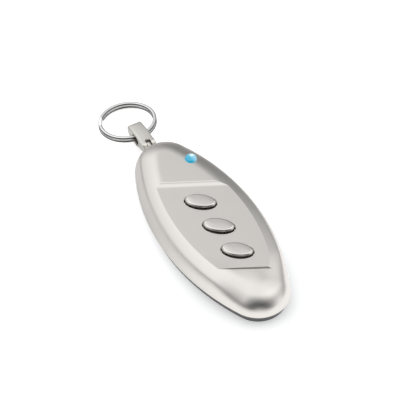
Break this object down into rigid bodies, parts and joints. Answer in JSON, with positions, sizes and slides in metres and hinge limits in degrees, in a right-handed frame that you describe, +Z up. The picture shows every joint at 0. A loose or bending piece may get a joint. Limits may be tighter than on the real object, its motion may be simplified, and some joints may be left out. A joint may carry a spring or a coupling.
{
  "type": "garage door remote",
  "caption": "Pocket garage door remote: oval pebble casing with slanted oval keys, a blue indicator light, a forked link pinned to its tip and a split key ring.",
  "frame": {"origin": "middle of the flat rear face, on which the remote lies", "axes": "+Z up, out of the keys; +Y along the casing towards the link and the key ring; +X to the right seen from above with the ring away from you"},
  "size_m": [0.0352, 0.1076, 0.0122],
  "materials": {
    "front_paint": "satin silver-grey paint on moulded plastic",
    "button_paint": "satin silver-grey paint, the same as the shell",
    "rear_plastic": "fine-grained dark grey moulded plastic",
    "lens_blue": "clear blue polished dome, lit from below",
    "link_metal": "satin nickel plated casting",
    "pin_steel": "plain steel pin, end ground flat",
    "ring_steel": "polished nickel plated spring wire",
    "screw_steel": "zinc plated steel",
    "board_laminate": "green solder mask on glass laminate",
    "chip_resin": "black moulded resin",
    "crystal_can": "drawn metal can",
    "component_ceramic": "tan ceramic with tinned ends",
    "led_resin": "milky clear resin",
    "antenna_wire": "bare copper coloured wire",
    "cell_steel": "nickel plated steel",
    "gasket_plastic": "dark polymer seal",
    "contact_steel": "nickel plated spring strip",
    "switch_plastic": "black moulded plastic",
    "switch_steel": "stamped tinned cover",
    "plunger_plastic": "moulded plastic"
  },
  "bodies": {
    "remote": {"front_shell": "front_paint", "rear_shell": "rear_plastic", "circuit_board": "board_laminate", "controller_chip": "chip_resin", "radio_chip": "chip_resin", "crystal": "crystal_can", "chip_components": "component_ceramic", "indicator_led": "led_resin", "antenna": "antenna_wire", "led_lens": "lens_blue", "battery_cell": "cell_steel", "battery_gasket": "gasket_plastic", "battery_cap": "cell_steel", "battery_clip": "contact_steel", "battery_contact": "contact_steel", "case_screws": "screw_steel", "switch_base_1": "switch_plastic", "switch_cover_1": "switch_steel", "switch_base_2": "switch_plastic", "switch_cover_2": "switch_steel", "switch_base_3": "switch_plastic", "switch_cover_3": "switch_steel"},
    "key_1": {"button_1": "button_paint", "switch_plunger_1": "plunger_plastic"},
    "key_2": {"button_2": "button_paint", "switch_plunger_2": "plunger_plastic"},
    "key_3": {"button_3": "button_paint", "switch_plunger_3": "plunger_plastic"},
    "link": {"link": "link_metal", "link_pin": "pin_steel"},
    "ring": {"split_ring": "ring_steel"}
  },
  "joints": [
    {"name": "key_1_press", "type": "slide", "parent": "remote", "child": "key_1", "axis": [0, 0, -1], "range_m": [0, 0.00035], "stiffness_N_per_m": 3000},
    {"name": "key_2_press", "type": "slide", "parent": "remote", "child": "key_2", "axis": [0, 0, -1], "range_m": [0, 0.00035], "stiffness_N_per_m": 3000},
    {"name": "key_3_press", "type": "slide", "parent": "remote", "child": "key_3", "axis": [0, 0, -1], "range_m": [0, 0.00035], "stiffness_N_per_m": 3000},
    {"name": "link_swing", "type": "hinge", "parent": "remote", "child": "link", "pos_m": [0, 0.0425, 0.005], "axis": [1, 0, 0], "range_deg": [-45, 60]},
    {"name": "ring_swing", "type": "hinge", "parent": "link", "child": "ring", "pos_m": [0, 0.0479, 0.00425], "axis": [1, 0, 0], "range_deg": [-95, 95]}
  ]
}
